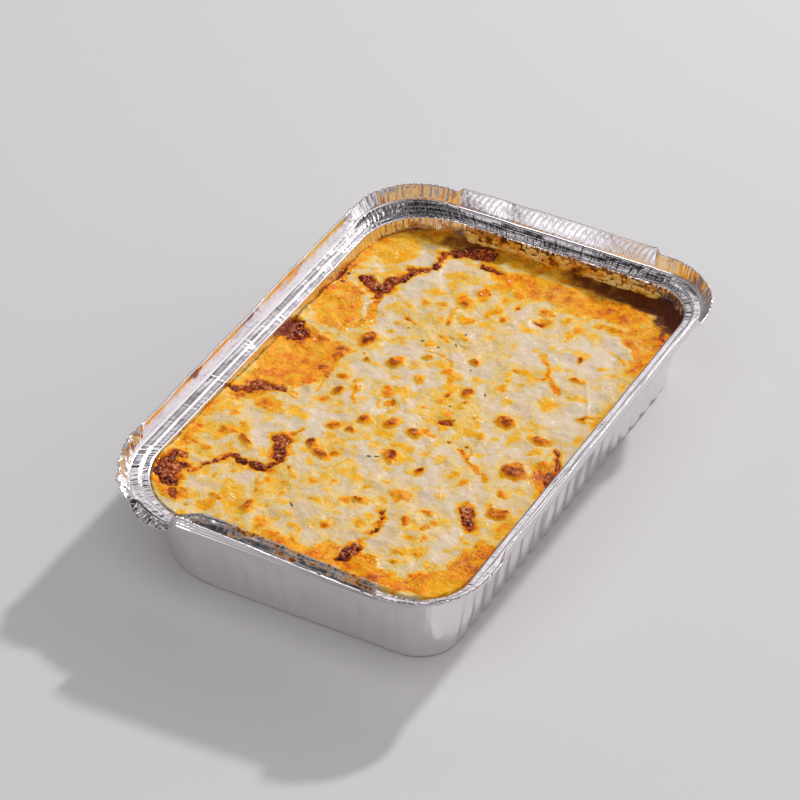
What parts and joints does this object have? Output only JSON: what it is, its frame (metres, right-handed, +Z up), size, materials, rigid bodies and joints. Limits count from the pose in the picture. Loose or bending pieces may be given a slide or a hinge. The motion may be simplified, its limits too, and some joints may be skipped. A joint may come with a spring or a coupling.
{
  "type": "lasagne in a foil tray",
  "caption": "Baked lasagne with browned melted cheese in a rectangular pressed foil tray with a stepped rim and upright lid flanges, lid off, for display and set dressing.",
  "frame": {"origin": "centre of the object's box at table height, on the underside of the tray", "axes": "+Y along the tray's long side towards its far end, +X across it, +Z up out of the tray"},
  "size_m": [0.153, 0.2294, 0.0423],
  "materials": {
    "foil": "bright rolled foil with fine pleats and pressed flutes",
    "meat_sauce": "moist, oily, coarse",
    "baked_cheese": "melted and glossy with browned blisters"
  },
  "bodies": {
    "root": {"tray": "foil", "lasagne": "meat_sauce", "cheese_topping": "baked_cheese"}
  },
  "joints": []
}
